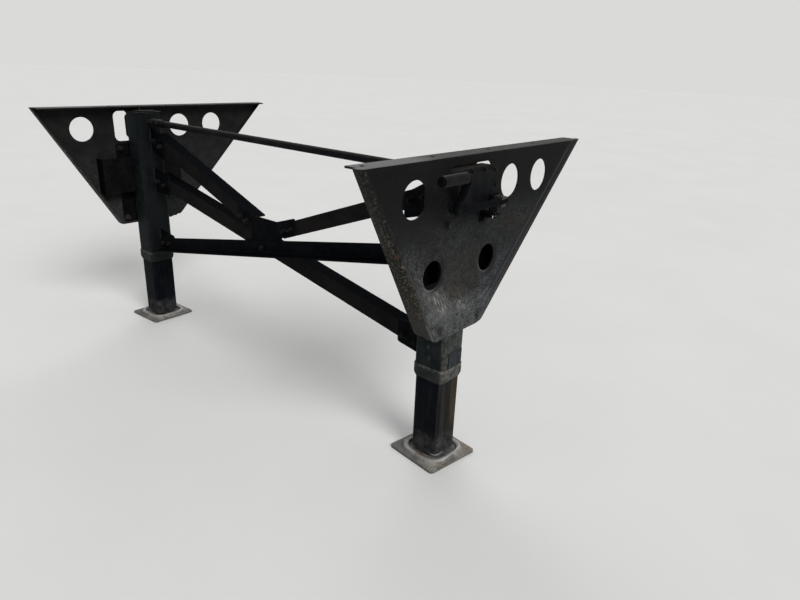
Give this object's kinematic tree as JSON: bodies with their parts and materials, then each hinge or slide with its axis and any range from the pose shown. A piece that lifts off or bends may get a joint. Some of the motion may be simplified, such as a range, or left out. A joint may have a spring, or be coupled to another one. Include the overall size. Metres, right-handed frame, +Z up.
{
  "type": "semi-trailer landing gear",
  "caption": "Bolt-on landing gear of a dry-van semi-trailer: telescoping square legs on pressed wing plates, cross-braced, with pivoting shoes and a side crank.",
  "frame": {"origin": "centre of the bolt pattern in the wing plates' top flanges, at the underside of the trailer's floor crossmembers, on the trailer's centre plane above the legs' axes", "axes": "+X to the trailer's rear, +Y from the trailer's left (crank) side to its right side, +Z up"},
  "size_m": [1.2879, 2.282, 1.125],
  "materials": {
    "black_paint": "dusty worn semi-gloss",
    "plate_paint": "dusty scratched",
    "shoe_steel": "dirty grey, worn",
    "cast_black": "painted casting",
    "bare_steel": "dull, rusty",
    "grip": "worn",
    "plate_blank": "overpainted blank plate"
  },
  "bodies": {
    "root": {"wing_plate_left": "plate_paint", "wing_plate_right": "plate_paint", "leg_bracket_left": "black_paint", "leg_bracket_right": "black_paint", "bracket_boxes_left": "black_paint", "bracket_boxes_right": "black_paint", "outer_leg_left": "black_paint", "outer_leg_right": "black_paint", "leg_collar_left": "black_paint", "leg_collar_right": "black_paint", "leg_cap_left": "black_paint", "leg_cap_right": "black_paint", "inner_leg_left": "black_paint", "inner_leg_right": "black_paint", "foot_pin_left": "black_paint", "foot_pin_right": "black_paint", "brace_front": "black_paint", "brace_rear": "black_paint", "stay_left": "black_paint", "stay_right": "black_paint", "brace_centre_plate": "black_paint", "brace_gussets_left": "black_paint", "brace_gussets_right": "black_paint", "gearbox_housing": "cast_black", "gearbox_cover": "cast_black", "input_shaft": "bare_steel", "crank_arm": "black_paint", "crank_pin": "bare_steel", "crank_grip": "grip", "crank_hanger": "black_paint", "cross_shaft": "black_paint", "shaft_stub_left": "bare_steel", "shaft_stub_right": "bare_steel", "shaft_coupling_left": "black_paint", "shaft_coupling_right": "black_paint", "gear_cover_right": "cast_black", "blank_plate_left": "plate_blank"},
    "shoe_left": {"shoe_left": "shoe_steel"},
    "shoe_right": {"shoe_right": "shoe_steel"}
  },
  "joints": [
    {"name": "shoe_left_pivot", "type": "hinge", "parent": "root", "child": "shoe_left", "pos_m": [0, -0.969, -1.073], "axis": [0, 1, 0], "range_deg": [-6.5, 6.5]},
    {"name": "shoe_right_pivot", "type": "hinge", "parent": "root", "child": "shoe_right", "pos_m": [0, 0.969, -1.073], "axis": [0, 1, 0], "range_deg": [-6.5, 6.5]}
  ]
}
